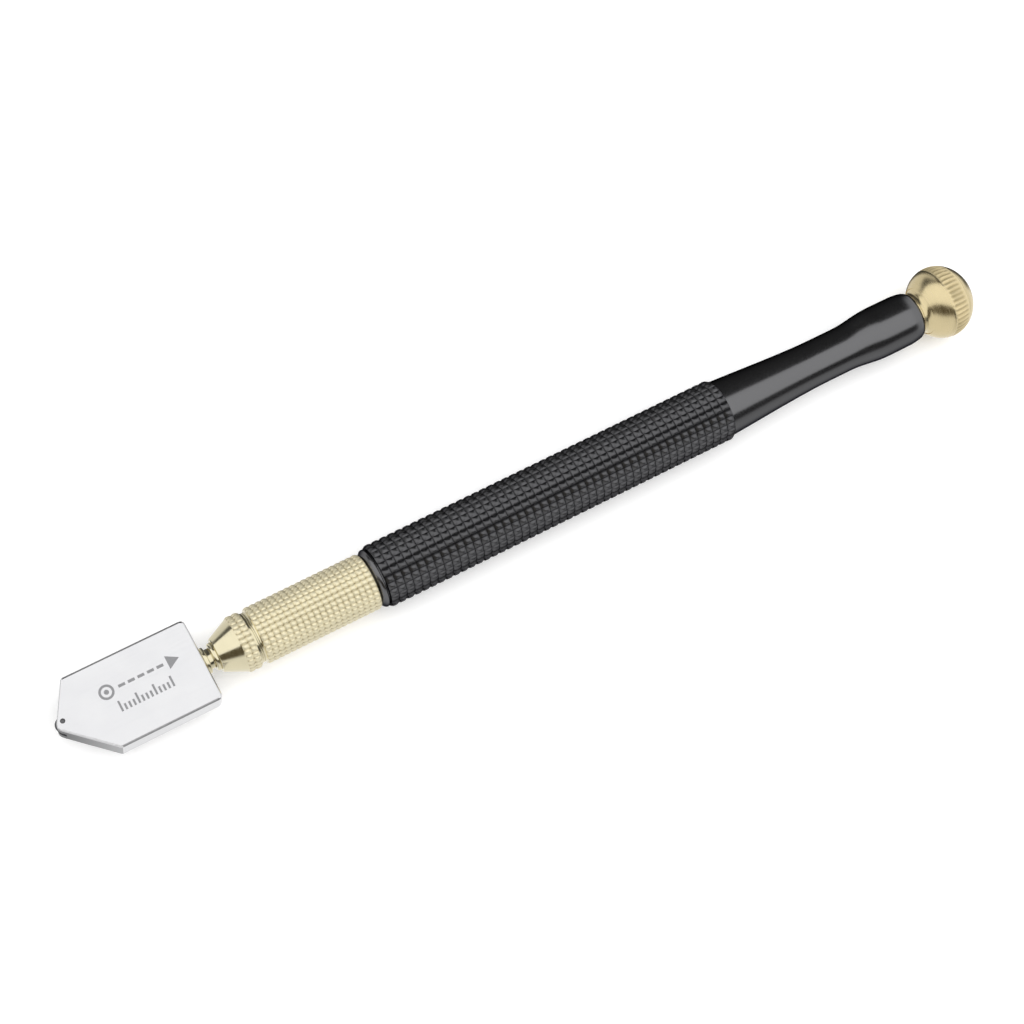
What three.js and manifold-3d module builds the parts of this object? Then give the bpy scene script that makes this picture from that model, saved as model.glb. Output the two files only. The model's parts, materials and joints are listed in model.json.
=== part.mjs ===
// Oil-fed glass cutter. Millimetres, +Z up. The tool lies on its side with its long axis along +X:
// cutting wheel at the low end of X, screw cap at the high end, wide faces of the head plate level.
import * as THREE from 'three';
import { mergeVertices } from 'three/addons/utils/BufferGeometryUtils.js';
import Module from 'manifold-3d';

const wasm = await Module();
wasm.setup();

// ---- driving dimensions ---------------------------------------------------------------------
// Every "AT" value is a distance along the axis from a datum just ahead of the cutting wheel.
const FRONT_AT = 0.4;             // cutting edge of the wheel
const REAR_AT = 180;              // end of the screw cap
const FACETS = 24;

const PLATE_WIDTH = 14.8;
const PLATE_THICKNESS = 4.8;
const PLATE_REAR_AT = 26.3;
const SHORT_BEVEL_AT = 4.5;       // where the +Y long edge turns in to the tip
const LONG_BEVEL_AT = 8.2;        // where the -Y long edge turns in to the tip
const TIP_CORNER = { at: 0.25, y: 0.1 };   // where the two bevels' lines meet
const TIP_RADIUS = 0.9;
const REAR_CORNER_RADIUS = 1.0;
const FRONT_CORNER_RADIUS = 0.35;

const WHEEL_RADIUS = 1.4;
const WHEEL_HUB_RADIUS = 1.15;
const WHEEL_AT = FRONT_AT + WHEEL_RADIUS;
const WHEEL_OFFSET = 0.85;        // the wheel sits this far to +Y of the axis
const WHEEL_THICKNESS = 1.0;
const WHEEL_SLOT = 1.16;
const WHEEL_SLOT_RADIUS = 1.95;
const AXLE_RADIUS = 0.35;

const OIL_PASSAGE_RADIUS = 0.6;

const PLUNGE = 0.8;               // travel of the head against its spring
const STEM_RADIUS = 1.5;
const STEM_REAR_AT = 43.1;
const STEM_BORE = 0.7;
const COLLAR_RADIUS = 2.3;
const COLLAR_REAR_AT = 27.0;
const NECK_RADIUS = 1.75;
const NECK_REAR_AT = 27.75;
const SOCKET_DEPTH = 5.5;
const WICK_RADIUS = 0.5;
const WICK_FRONT_AT = 21.5;
const WICK_REAR_AT = 42.5;
const CLIP_GROOVE = { from: 34.0, to: 34.5, radius: 1.2 };
const CLIP_RADIUS = 2.3;
const CLIP_THICKNESS = 0.4;

const MOUTH_AT = 28.6;            // small end of the nut's cone
const MOUTH_RADIUS = 2.95;
const CONE_REAR_AT = 32.3;
const CONE_RADIUS = 4.55;
const NUT_RING_RADIUS = 5.0;
const NUT_RING_REAR_AT = 34.75;
const LAND_RADIUS = 4.5;          // smooth lands on both sides of the nut's joint
const NUT_LAND_REAR_AT = 35.15;
const NUT_STOP_AT = 33.2;         // inner face that the thrust washer rests on
const NUT_SPIGOT_RADIUS = 3.7;
const NUT_SPIGOT_REAR_AT = 40.0;
const GLAND_FRONT_AT = 27.9;
const GLAND_RADIUS = 2.2;
const GLAND_FLANGE_RADIUS = 2.45;
const SEAL_POCKET_AT = 31.0;
const SEAL_POCKET_RADIUS = 2.55;
const STEM_SEAL = { at: 31.75, radius: 2.02, thickness: 0.9 };
const THRUST_WASHER = { thickness: 0.6, radius: 2.85 };
const HEAD_SPRING = { frontAt: 34.6, radius: 2.2, wire: 0.45, turns: 7 };
const SPRING_BORE = 2.95;         // the same in the nut's spigot and in the sleeve

const SLEEVE_FRONT_AT = 35.45;
const SLEEVE_LAND_REAR_AT = 35.85;
const SLEEVE_RADIUS = 5.05;
const SLEEVE_REAR_AT = 57.0;
const SLEEVE_SPIGOT_RADIUS = 4.1;
const SLEEVE_SPIGOT_REAR_AT = 66.0;
const SLEEVE_SEAL_GROOVE = { from: 57.9, to: 59.3, radius: 3.5 };
const SLEEVE_SEAL = { at: 58.6, radius: 3.82, thickness: 0.58 };
const SPRING_SHOULDER_AT = 41.6;
const VALVE_CHAMBER_AT = 42.7;
const VALVE_CHAMBER_RADIUS = 2.8;

const SEAT_AT = 46.0;
const SEAT_LENGTH = 2.0;
const SEAT_BORE = 1.1;
const VALVE_SEAL_THICKNESS = 0.7;
const PIN_RADIUS = 0.75;
const PIN_NOSE_RADIUS = 0.95;
const PIN_NOSE_LENGTH = 0.55;
const PIN_HEAD_RADIUS = 2.0;
const PIN_HEAD_THICKNESS = 0.8;
const PIN_REAR_AT = 60.0;
const VALVE_SPRING = { radius: 1.35, wire: 0.4, turns: 8 };
const CAGE_AT = 57.6;
const CAGE_LENGTH = 1.6;
const CAGE_HOLES = { count: 3, radius: 0.45, circle: 1.8 };

const KNURL_FRONT_AT = 58.6;
const KNURL_REAR_AT = 126.7;
const BARREL_RADIUS = 5.67;
const BARREL_LIP_RADIUS = 5.25;
const TAPER_RADIUS = 5.18;
const TAPER_MIDDLE = { at: 135.5, radius: 4.61 };
const WAIST_RADIUS = 4.08;
const WAIST_FRONT_AT = 145.0;
const WAIST_REAR_AT = 154.2;
const BULB_RADIUS = 4.78;
const BULB_FRONT_AT = 158.8;
const BARREL_REAR_AT = 168.1;
const RESERVOIR_RADIUS = 3.3;
const WAIST_BORE = 2.9;
const WAIST_BORE_STEP = { from: 139.0, to: 141.0 };
const CAP_SEAL_SEAT = { from: 166.7, radius: 3.75 };

const BALL_RADIUS = 6.65;
const BALL_FRONT = 5.7;           // the ball is flatter than a sphere: these are its front and
const BALL_REAR = 5.85;           // rear depths from its widest line
const BALL_EDGE_RADIUS = 4.8;     // where the ball's front ends and the neck flares in
const CAP_NECK_RADIUS = 3.7;
const CAP_NECK_REAR_AT = 169.5;
const CAP_FLANGE_RADIUS = 4.0;
const CAP_FLANGE_REAR_AT = 168.4;
const CAP_STUB_RADIUS = 2.9;
const CAP_STUB_FRONT_AT = 159.5;
const CAP_SEAL_GROOVE = { from: 166.5, radius: 2.35 };
const CAP_SEAL = { at: 167.45, radius: 3.0, thickness: 1.1 };

const FIT = 0.06;                 // radial clearance of parts that fit in one another
const LOOSE = 0.15;               // radial clearance of parts that only pass through
const TOUCH = 0.02;               // gap between faces that bear on each other

// ---- materials ------------------------------------------------------------------------------
const finish = (color, roughness, metalness) => new THREE.MeshStandardMaterial({
  color, roughness, metalness,
});
const steel = finish(0xe9e9ec, 0.18, 1.0);
const carbide = finish(0x55575c, 0.35, 1.0);
const brass = finish(0xd8c48a, 0.22, 1.0);
const springSteel = finish(0x9a9ca0, 0.3, 1.0);
const blackCoat = finish(0x1b1c1f, 0.38, 0.2);
const rubber = finish(0x151515, 0.8, 0.0);
const cotton = finish(0xf1ede2, 0.95, 0.0);

const group = new THREE.Group();
group.position.set(-(FRONT_AT + REAR_AT) / 2, 0, BALL_RADIUS);

function place(name, geometry, material) {
  const mesh = new THREE.Mesh(geometry, material);
  mesh.name = name;
  group.add(mesh);
}

// ---- shape helpers --------------------------------------------------------------------------
// Turns a profile of [distance along the axis, radius] points round the X axis. A radius is the
// distance to the middle of a facet, and one facet faces straight down.
function turned(profile) {
  const closed = profile[0][1] > 0;
  const loop = closed ? [...profile, profile[0]] : profile;
  let area = 0;
  for (let i = 1; i < loop.length; i += 1) {
    area += loop[i - 1][0] * loop[i][1] - loop[i][0] * loop[i - 1][1];
  }
  const ordered = area < 0 ? loop : [...loop].reverse();
  const corner = 1 / Math.cos(Math.PI / FACETS);
  const points = ordered.map(([along, radius]) => new THREE.Vector2(radius * corner, along));
  const geometry = new THREE.LatheGeometry(points, FACETS, Math.PI / FACETS);
  return geometry.rotateZ(-Math.PI / 2);
}

const tube = (from, to, inner, outer) => turned([
  [from, inner], [from, outer], [to, outer], [to, inner],
]);

const rod = (from, to, radius) => turned([[from, 0], [from, radius], [to, radius], [to, 0]]);

// An O-ring whose centre circle has the given radius.
function ring(at, radius, thickness) {
  const sides = 8;
  const profile = [];
  for (let i = 0; i < sides; i += 1) {
    const angle = (i * 2 * Math.PI) / sides;
    profile.push([
      at + (thickness / 2) * Math.cos(angle),
      radius + (thickness / 2) * Math.sin(angle),
    ]);
  }
  return turned(profile);
}

class Helix extends THREE.Curve {
  constructor(from, to, radius, turns) {
    super();
    Object.assign(this, { from, to, radius, turns });
  }

  getPoint(t, target = new THREE.Vector3()) {
    const angle = t * this.turns * 2 * Math.PI;
    return target.set(
      this.from + t * (this.to - this.from),
      this.radius * Math.cos(angle),
      this.radius * Math.sin(angle),
    );
  }
}

function coilSpring(from, to, radius, wire, turns) {
  const section = new THREE.Shape();
  section.absarc(0, 0, wire / 2, 0, 2 * Math.PI);
  return new THREE.ExtrudeGeometry(section, {
    curveSegments: 3,
    steps: turns * 12,
    extrudePath: new Helix(from + wire / 2, to - wire / 2, radius, turns),
  });
}

function toSolid(geometry) {
  const bare = geometry.index ? geometry : geometry.clone();
  bare.deleteAttribute('normal');
  bare.deleteAttribute('uv');
  const merged = mergeVertices(bare, 1e-4);
  return new wasm.Manifold(new wasm.Mesh({
    numProp: 3,
    vertProperties: merged.attributes.position.array,
    triVerts: merged.index.array,
  }));
}

function toGeometry(solid) {
  const mesh = solid.getMesh();
  const geometry = new THREE.BufferGeometry();
  geometry.setAttribute('position', new THREE.BufferAttribute(mesh.vertProperties, 3));
  geometry.setIndex(new THREE.BufferAttribute(mesh.triVerts, 1));
  return geometry;
}

// A cylinder along Z whose middle is level with the axis.
function upright(x, y, radius, height, sides) {
  const geometry = new THREE.CylinderGeometry(radius, radius, height, sides);
  return geometry.rotateX(Math.PI / 2).translate(x, y, 0);
}

// ---- cutting head ---------------------------------------------------------------------------
// Adds a straight run that turns the corner at "corner" with a small arc.
function roundedCorner(shape, before, corner, after, radius) {
  const into = corner.clone().sub(before).normalize();
  const out = after.clone().sub(corner).normalize();
  const turn = Math.acos(into.dot(out));
  const cut = radius * Math.tan(turn / 2);
  const start = corner.clone().addScaledVector(into, -cut);
  const end = corner.clone().addScaledVector(out, cut);
  shape.lineTo(start.x, start.y);
  shape.quadraticCurveTo(corner.x, corner.y, end.x, end.y);
}

function plateOutline() {
  const half = PLATE_WIDTH / 2;
  const corners = [
    [new THREE.Vector2(PLATE_REAR_AT, half), REAR_CORNER_RADIUS],
    [new THREE.Vector2(SHORT_BEVEL_AT, half), FRONT_CORNER_RADIUS],
    [new THREE.Vector2(TIP_CORNER.at, TIP_CORNER.y), TIP_RADIUS],
    [new THREE.Vector2(LONG_BEVEL_AT, -half), FRONT_CORNER_RADIUS],
    [new THREE.Vector2(PLATE_REAR_AT, -half), REAR_CORNER_RADIUS],
  ];
  const middle = new THREE.Vector2(PLATE_REAR_AT, 0);
  const shape = new THREE.Shape();
  shape.moveTo(middle.x, middle.y);
  corners.forEach(([corner, radius], i) => {
    const before = i > 0 ? corners[i - 1][0] : middle;
    const after = i < corners.length - 1 ? corners[i + 1][0] : middle;
    roundedCorner(shape, before, corner, after, radius);
  });
  shape.closePath();
  return shape;
}

function headPlate() {
  const blank = new THREE.ExtrudeGeometry(plateOutline(), {
    depth: PLATE_THICKNESS,
    bevelEnabled: false,
    curveSegments: 5,
  }).translate(0, 0, -PLATE_THICKNESS / 2);
  const slot = upright(WHEEL_AT, WHEEL_OFFSET, WHEEL_SLOT_RADIUS, WHEEL_SLOT, 24);
  const axleHole = upright(WHEEL_AT, WHEEL_OFFSET, AXLE_RADIUS + FIT, 2 * PLATE_THICKNESS, 16);
  const passage = rod(WHEEL_AT + 0.6, PLATE_REAR_AT - 1, OIL_PASSAGE_RADIUS);
  const socket = rod(PLATE_REAR_AT - SOCKET_DEPTH, PLATE_REAR_AT + 1, STEM_RADIUS + FIT);
  const solid = [slot, axleHole, passage, socket].reduce(
    (body, tool) => body.subtract(toSolid(tool)),
    toSolid(blank),
  );
  return toGeometry(solid);
}

function cuttingWheel() {
  const half = WHEEL_THICKNESS / 2;
  const bore = AXLE_RADIUS + FIT;
  const hub = WHEEL_HUB_RADIUS;
  const points = [
    [bore, -half], [hub, -half], [WHEEL_RADIUS, 0], [hub, half], [bore, half], [bore, -half],
  ].map(([radius, z]) => new THREE.Vector2(radius, z));
  const geometry = new THREE.LatheGeometry(points, 32);
  return geometry.rotateX(Math.PI / 2).translate(WHEEL_AT, WHEEL_OFFSET, 0);
}

const wheelAxle = () => upright(WHEEL_AT, WHEEL_OFFSET, AXLE_RADIUS, PLATE_THICKNESS - 0.1, 16);

function headStem() {
  const front = PLATE_REAR_AT - SOCKET_DEPTH + FIT;
  const collarFront = PLATE_REAR_AT + TOUCH;
  return turned([
    [front, STEM_BORE], [front, STEM_RADIUS],
    [collarFront, STEM_RADIUS], [collarFront, COLLAR_RADIUS],
    [COLLAR_REAR_AT, COLLAR_RADIUS], [COLLAR_REAR_AT, NECK_RADIUS],
    [NECK_REAR_AT, NECK_RADIUS], [NECK_REAR_AT, STEM_RADIUS],
    [CLIP_GROOVE.from, STEM_RADIUS], [CLIP_GROOVE.from, CLIP_GROOVE.radius],
    [CLIP_GROOVE.to, CLIP_GROOVE.radius], [CLIP_GROOVE.to, STEM_RADIUS],
    [STEM_REAR_AT, STEM_RADIUS], [STEM_REAR_AT, STEM_BORE],
  ]);
}

// An open clip that snaps in to the groove of the stem.
function stemClip() {
  const inner = CLIP_GROOVE.radius + FIT;
  const opening = 0.5;
  const shape = new THREE.Shape();
  shape.absarc(0, 0, CLIP_RADIUS, opening, 2 * Math.PI - opening);
  shape.absarc(0, 0, inner, 2 * Math.PI - 2 * opening, 2 * opening, true);
  shape.closePath();
  const geometry = new THREE.ExtrudeGeometry(shape, {
    depth: CLIP_THICKNESS,
    bevelEnabled: false,
    curveSegments: 16,
  });
  const slack = (CLIP_GROOVE.to - CLIP_GROOVE.from - CLIP_THICKNESS) / 2;
  return geometry.rotateY(Math.PI / 2).translate(CLIP_GROOVE.from + slack, 0, 0);
}

// ---- nose nut -------------------------------------------------------------------------------
function noseNut() {
  const stemHole = STEM_RADIUS + LOOSE;
  const glandBore = GLAND_RADIUS + FIT;
  const webFront = NUT_STOP_AT - 0.7;
  const ringChamfer = 0.35;
  return turned([
    [MOUTH_AT, glandBore], [MOUTH_AT, MOUTH_RADIUS],
    [CONE_REAR_AT, CONE_RADIUS], [CONE_REAR_AT + ringChamfer, NUT_RING_RADIUS],
    [NUT_RING_REAR_AT - ringChamfer, NUT_RING_RADIUS], [NUT_RING_REAR_AT, LAND_RADIUS],
    [NUT_LAND_REAR_AT, LAND_RADIUS], [NUT_LAND_REAR_AT, NUT_SPIGOT_RADIUS],
    [NUT_SPIGOT_REAR_AT, NUT_SPIGOT_RADIUS], [NUT_SPIGOT_REAR_AT, SPRING_BORE],
    [NUT_STOP_AT, SPRING_BORE], [NUT_STOP_AT, stemHole],
    [webFront, stemHole], [webFront, SEAL_POCKET_RADIUS],
    [SEAL_POCKET_AT, SEAL_POCKET_RADIUS], [SEAL_POCKET_AT, glandBore],
  ]);
}

// The bush has a thin flange that shows at the mouth of the cone, and a recess that takes the
// stem's neck when the head is pushed in.
function glandBush() {
  const bore = STEM_RADIUS + FIT;
  const recess = { radius: NECK_RADIUS + FIT, to: NECK_REAR_AT + PLUNGE + LOOSE };
  const flangeRear = MOUTH_AT - TOUCH;
  const rear = SEAL_POCKET_AT - TOUCH;
  return turned([
    [GLAND_FRONT_AT, recess.radius], [GLAND_FRONT_AT, GLAND_FLANGE_RADIUS - 0.2],
    [GLAND_FRONT_AT + 0.4, GLAND_FLANGE_RADIUS], [flangeRear, GLAND_FLANGE_RADIUS],
    [flangeRear, GLAND_RADIUS], [rear, GLAND_RADIUS],
    [rear, bore], [recess.to, bore], [recess.to, recess.radius],
  ]);
}

// Lies between the nut and the sleeve.
const noseWasher = () => tube(
  NUT_LAND_REAR_AT + TOUCH,
  SLEEVE_FRONT_AT - TOUCH,
  NUT_SPIGOT_RADIUS + FIT,
  LAND_RADIUS - 0.05,
);

// Rests on the inner face of the nut. The stem's clip bears on it.
function thrustWasher() {
  const front = NUT_STOP_AT + 0.05;
  const rear = front + THRUST_WASHER.thickness;
  return tube(front, rear, STEM_RADIUS + FIT, THRUST_WASHER.radius);
}

function headSpring() {
  const { frontAt, radius, wire, turns } = HEAD_SPRING;
  return coilSpring(frontAt, SPRING_SHOULDER_AT - 0.05, radius, wire, turns);
}

// ---- front sleeve and valve -----------------------------------------------------------------
function frontSleeve() {
  const threadBore = NUT_SPIGOT_RADIUS + FIT;
  const threadRear = NUT_SPIGOT_REAR_AT + 0.2;
  const stemHole = STEM_RADIUS + LOOSE;
  const groove = SLEEVE_SEAL_GROOVE;
  return turned([
    [SLEEVE_FRONT_AT, threadBore], [SLEEVE_FRONT_AT, LAND_RADIUS],
    [SLEEVE_LAND_REAR_AT, LAND_RADIUS], [SLEEVE_LAND_REAR_AT + 0.35, SLEEVE_RADIUS],
    [SLEEVE_REAR_AT, SLEEVE_RADIUS], [SLEEVE_REAR_AT, SLEEVE_SPIGOT_RADIUS],
    [groove.from, SLEEVE_SPIGOT_RADIUS], [groove.from, groove.radius],
    [groove.to, groove.radius], [groove.to, SLEEVE_SPIGOT_RADIUS],
    [SLEEVE_SPIGOT_REAR_AT, SLEEVE_SPIGOT_RADIUS], [SLEEVE_SPIGOT_REAR_AT, VALVE_CHAMBER_RADIUS],
    [VALVE_CHAMBER_AT, VALVE_CHAMBER_RADIUS], [VALVE_CHAMBER_AT, stemHole],
    [SPRING_SHOULDER_AT, stemHole], [SPRING_SHOULDER_AT, SPRING_BORE],
    [threadRear, SPRING_BORE], [threadRear, threadBore],
  ]);
}

const valveSeat = () => tube(
  SEAT_AT,
  SEAT_AT + SEAT_LENGTH,
  SEAT_BORE,
  VALVE_CHAMBER_RADIUS - FIT,
);

const SEAL_FRONT_AT = SEAT_AT + SEAT_LENGTH + TOUCH;
const SEAL_REAR_AT = SEAL_FRONT_AT + VALVE_SEAL_THICKNESS;
const PIN_HEAD_AT = SEAL_REAR_AT + TOUCH;
const PIN_HEAD_REAR_AT = PIN_HEAD_AT + PIN_HEAD_THICKNESS;

function valvePin() {
  const front = STEM_REAR_AT + 0.05;
  const noseRear = front + PIN_NOSE_LENGTH;
  return turned([
    [front, 0], [front, PIN_NOSE_RADIUS],
    [noseRear, PIN_NOSE_RADIUS], [noseRear, PIN_RADIUS],
    [PIN_HEAD_AT, PIN_RADIUS], [PIN_HEAD_AT, PIN_HEAD_RADIUS],
    [PIN_HEAD_REAR_AT, PIN_HEAD_RADIUS], [PIN_HEAD_REAR_AT, PIN_RADIUS],
    [PIN_REAR_AT, PIN_RADIUS], [PIN_REAR_AT, 0],
  ]);
}

const valveSeal = () => tube(SEAL_FRONT_AT, SEAL_REAR_AT, PIN_RADIUS + FIT, PIN_HEAD_RADIUS);

function valveSpring() {
  const { radius, wire, turns } = VALVE_SPRING;
  return coilSpring(PIN_HEAD_REAR_AT + 0.1, CAGE_AT - 0.05, radius, wire, turns);
}

// A plug with oil holes round the guide of the valve pin.
function springCage() {
  const { count, radius, circle } = CAGE_HOLES;
  const rear = CAGE_AT + CAGE_LENGTH;
  let solid = toSolid(tube(CAGE_AT, rear, PIN_RADIUS + LOOSE, VALVE_CHAMBER_RADIUS - FIT));
  for (let i = 0; i < count; i += 1) {
    const angle = (i * 2 * Math.PI) / count;
    const hole = new THREE.CylinderGeometry(radius, radius, 3 * CAGE_LENGTH, 10);
    hole.rotateZ(-Math.PI / 2);
    hole.translate(CAGE_AT, circle * Math.cos(angle), circle * Math.sin(angle));
    solid = solid.subtract(toSolid(hole));
  }
  return toGeometry(solid);
}

// ---- handle ---------------------------------------------------------------------------------
function handleBarrel() {
  const front = SLEEVE_REAR_AT + TOUCH;
  const threadBore = SLEEVE_SPIGOT_RADIUS + FIT;
  const threadRear = SLEEVE_SPIGOT_REAR_AT + 0.4;
  const capThread = { from: CAP_STUB_FRONT_AT - 0.5, radius: CAP_STUB_RADIUS + FIT };
  return turned([
    [front, threadBore], [front, BARREL_LIP_RADIUS - 0.1],
    [front + 0.3, BARREL_LIP_RADIUS], [KNURL_FRONT_AT - 0.6, BARREL_LIP_RADIUS + 0.05],
    [KNURL_FRONT_AT, BARREL_RADIUS], [KNURL_REAR_AT - 0.5, BARREL_RADIUS],
    [KNURL_REAR_AT, TAPER_RADIUS], [TAPER_MIDDLE.at, TAPER_MIDDLE.radius],
    [WAIST_FRONT_AT, WAIST_RADIUS], [WAIST_REAR_AT, WAIST_RADIUS],
    [BULB_FRONT_AT, BULB_RADIUS], [BARREL_REAR_AT - 1.6, BULB_RADIUS - 0.05],
    [BARREL_REAR_AT - 0.4, BULB_RADIUS - 0.25], [BARREL_REAR_AT, BULB_RADIUS - 0.6],
    [BARREL_REAR_AT, CAP_SEAL_SEAT.radius], [CAP_SEAL_SEAT.from, CAP_SEAL_SEAT.radius],
    [CAP_SEAL_SEAT.from, capThread.radius], [capThread.from, capThread.radius],
    [capThread.from, WAIST_BORE], [WAIST_BORE_STEP.to, WAIST_BORE],
    [WAIST_BORE_STEP.from, RESERVOIR_RADIUS], [threadRear, RESERVOIR_RADIUS],
    [threadRear, threadBore],
  ]);
}

// A flattened ball on a flared neck, with the threaded stub that closes the oil reservoir.
function endCap() {
  const centre = REAR_AT - BALL_REAR;
  const flangeFront = BARREL_REAR_AT + TOUCH;
  const chamfer = 0.4;
  const profile = [
    [CAP_STUB_FRONT_AT, 0], [CAP_STUB_FRONT_AT, CAP_STUB_RADIUS - chamfer],
    [CAP_STUB_FRONT_AT + chamfer, CAP_STUB_RADIUS], [CAP_SEAL_GROOVE.from, CAP_STUB_RADIUS],
    [CAP_SEAL_GROOVE.from, CAP_SEAL_GROOVE.radius], [flangeFront, CAP_SEAL_GROOVE.radius],
    [flangeFront, CAP_FLANGE_RADIUS], [CAP_FLANGE_REAR_AT, CAP_FLANGE_RADIUS],
    [CAP_FLANGE_REAR_AT + 0.2, CAP_NECK_RADIUS], [CAP_NECK_REAR_AT, CAP_NECK_RADIUS],
  ];
  const edge = Math.asin(BALL_EDGE_RADIUS / BALL_RADIUS);
  const frontSteps = 6;
  for (let i = 0; i < frontSteps; i += 1) {
    const angle = edge + ((Math.PI / 2 - edge) * i) / frontSteps;
    profile.push([centre - BALL_FRONT * Math.cos(angle), BALL_RADIUS * Math.sin(angle)]);
  }
  const rearSteps = 7;
  for (let i = 0; i <= rearSteps; i += 1) {
    const angle = ((Math.PI / 2) * i) / rearSteps;
    profile.push([centre + BALL_REAR * Math.sin(angle), BALL_RADIUS * Math.cos(angle)]);
  }
  return turned(profile);
}

// ---- assembly -------------------------------------------------------------------------------
const wick = () => rod(WICK_FRONT_AT, WICK_REAR_AT, WICK_RADIUS);
const seal = ({ at, radius, thickness }) => ring(at, radius, thickness);

place('head_plate', headPlate(), steel);
place('cutting_wheel', cuttingWheel(), carbide);
place('wheel_axle', wheelAxle(), steel);
place('head_stem', headStem(), brass);
place('oil_wick', wick(), cotton);
place('stem_clip', stemClip(), springSteel);
place('gland_bush', glandBush(), brass);
place('stem_seal', seal(STEM_SEAL), rubber);
place('nose_nut', noseNut(), brass);
place('nose_washer', noseWasher(), brass);
place('thrust_washer', thrustWasher(), springSteel);
place('head_spring', headSpring(), springSteel);
place('front_sleeve', frontSleeve(), brass);
place('valve_seat', valveSeat(), brass);
place('valve_pin', valvePin(), brass);
place('valve_seal', valveSeal(), rubber);
place('valve_spring', valveSpring(), springSteel);
place('spring_cage', springCage(), brass);
place('sleeve_seal', seal(SLEEVE_SEAL), rubber);
place('handle_barrel', handleBarrel(), blackCoat);
place('cap_seal', seal(CAP_SEAL), rubber);
place('end_cap', endCap(), brass);

export default group;
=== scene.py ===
"""Oil-fed glass cutter: surfaces, materials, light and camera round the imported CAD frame."""
import json
import math

import bmesh
import bpy
from mathutils import Matrix, Vector


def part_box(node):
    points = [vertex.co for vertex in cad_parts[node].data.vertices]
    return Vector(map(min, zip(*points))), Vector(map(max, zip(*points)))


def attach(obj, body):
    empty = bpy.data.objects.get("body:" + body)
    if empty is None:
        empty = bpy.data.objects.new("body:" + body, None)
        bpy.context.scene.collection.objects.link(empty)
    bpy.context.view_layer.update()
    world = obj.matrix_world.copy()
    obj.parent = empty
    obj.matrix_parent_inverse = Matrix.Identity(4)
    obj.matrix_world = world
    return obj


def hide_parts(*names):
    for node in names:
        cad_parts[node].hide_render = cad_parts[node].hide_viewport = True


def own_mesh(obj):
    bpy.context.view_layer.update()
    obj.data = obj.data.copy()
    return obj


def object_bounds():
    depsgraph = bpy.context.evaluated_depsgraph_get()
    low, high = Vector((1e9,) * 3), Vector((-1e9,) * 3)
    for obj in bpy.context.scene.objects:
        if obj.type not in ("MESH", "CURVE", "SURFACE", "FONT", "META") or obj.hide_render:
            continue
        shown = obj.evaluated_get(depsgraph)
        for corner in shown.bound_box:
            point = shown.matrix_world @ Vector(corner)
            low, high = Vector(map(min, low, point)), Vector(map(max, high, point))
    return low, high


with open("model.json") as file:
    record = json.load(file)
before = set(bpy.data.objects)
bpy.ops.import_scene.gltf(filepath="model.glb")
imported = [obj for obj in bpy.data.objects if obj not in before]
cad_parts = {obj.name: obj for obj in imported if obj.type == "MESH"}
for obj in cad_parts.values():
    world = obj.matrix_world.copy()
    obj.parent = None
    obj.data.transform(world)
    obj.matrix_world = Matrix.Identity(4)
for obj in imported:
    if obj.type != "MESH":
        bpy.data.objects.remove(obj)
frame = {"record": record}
CAD_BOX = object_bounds()

MM = 0.001
TURN = 2 * math.pi

# ---- where things are, from the frame ---------------------------------------------------------
# A station is a distance in millimetres along the axis from a datum just ahead of the wheel.
WHEEL_FRONT = 0.4
TIP_X = CAD_BOX[0].x - WHEEL_FRONT * MM
AXIS_Z = sum(corner.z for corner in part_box("handle_barrel")) / 2


def span(node):
    """First and last station of a CAD node."""
    low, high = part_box(node)
    return (low.x - TIP_X) / MM, (high.x - TIP_X) / MM


def girth(node):
    """A CAD node's largest radius in millimetres."""
    low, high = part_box(node)
    return (high.z - low.z) / 2 / MM


def middle(node):
    low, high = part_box(node)
    return (low + high) / 2


# ---- materials --------------------------------------------------------------------------------
def principled(name, **values):
    material = bpy.data.materials.new(name)
    material.use_nodes = True
    shader = material.node_tree.nodes["Principled BSDF"]
    for socket, value in values.items():
        shader.inputs[socket.replace("_", " ")].default_value = value
    return material, shader


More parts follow.
